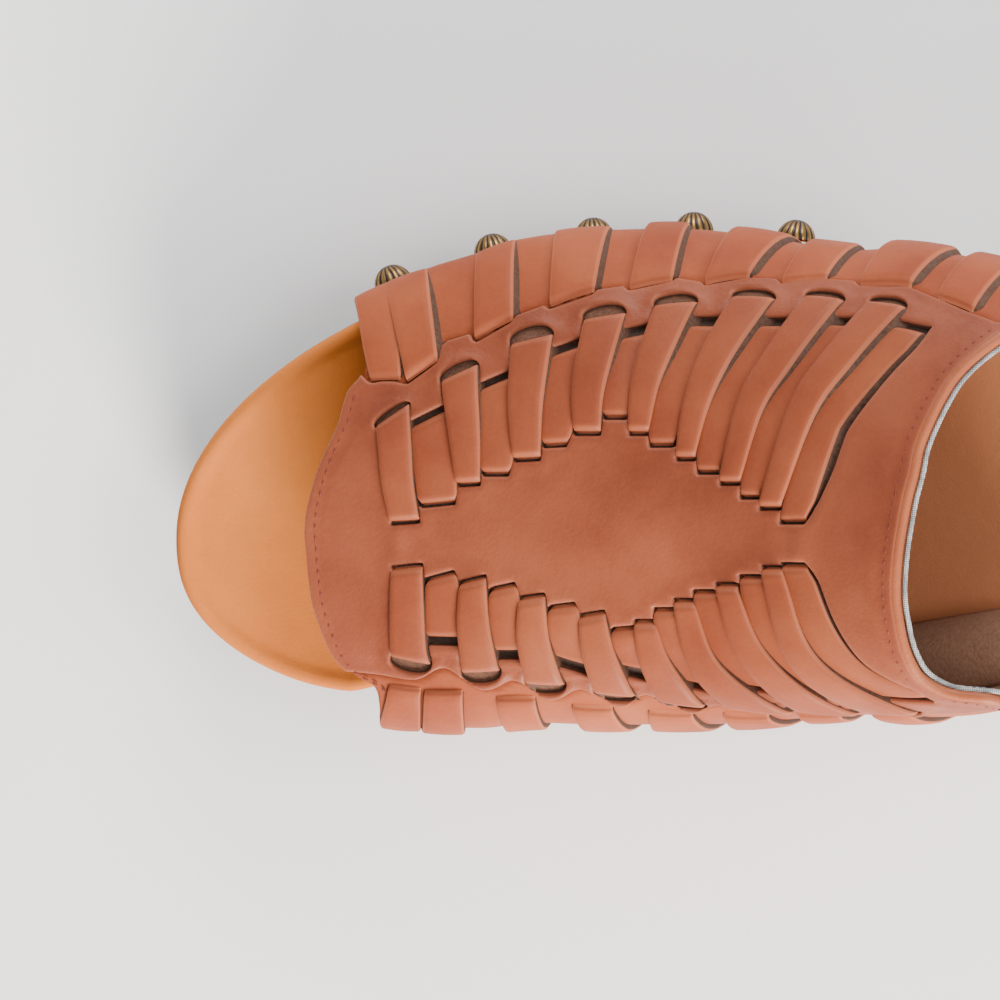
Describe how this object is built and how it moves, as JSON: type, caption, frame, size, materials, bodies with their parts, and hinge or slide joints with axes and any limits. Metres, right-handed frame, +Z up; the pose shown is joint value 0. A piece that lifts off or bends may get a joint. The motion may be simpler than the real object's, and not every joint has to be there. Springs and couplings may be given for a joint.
{
  "type": "platform sandal",
  "caption": "Open-toe, backless platform sandal with a block heel: a woven leather upper lasted over the platform's edge and held by domed nail heads.",
  "frame": {"origin": "bottom centre of the sandal's box, on the floor it stands on", "axes": "the toe points to -X and the heel to +X, +Y is the lateral (outer) side of this right shoe, +Z is up"},
  "size_m": [0.245, 0.1018, 0.0998],
  "materials": {
    "upper_leather": "smooth cognac leather, satin",
    "footbed_nubuck": "tan nubuck, matte",
    "sole_wood": "brown, satin",
    "tread_rubber": "dark, matte",
    "stud_brass": "antique, fluted"
  },
  "bodies": {
    "root": {"platform": "sole_wood", "insole": "footbed_nubuck", "outsole": "tread_rubber", "heel": "sole_wood", "heel_tread": "tread_rubber", "upper": "upper_leather", "stud_lateral_01": "stud_brass", "stud_lateral_02": "stud_brass", "stud_lateral_03": "stud_brass", "stud_lateral_04": "stud_brass", "stud_lateral_05": "stud_brass", "stud_lateral_06": "stud_brass", "stud_lateral_07": "stud_brass", "stud_medial_01": "stud_brass", "stud_medial_02": "stud_brass", "stud_medial_03": "stud_brass", "stud_medial_04": "stud_brass", "stud_medial_05": "stud_brass", "stud_medial_06": "stud_brass", "stud_medial_07": "stud_brass"}
  },
  "joints": []
}
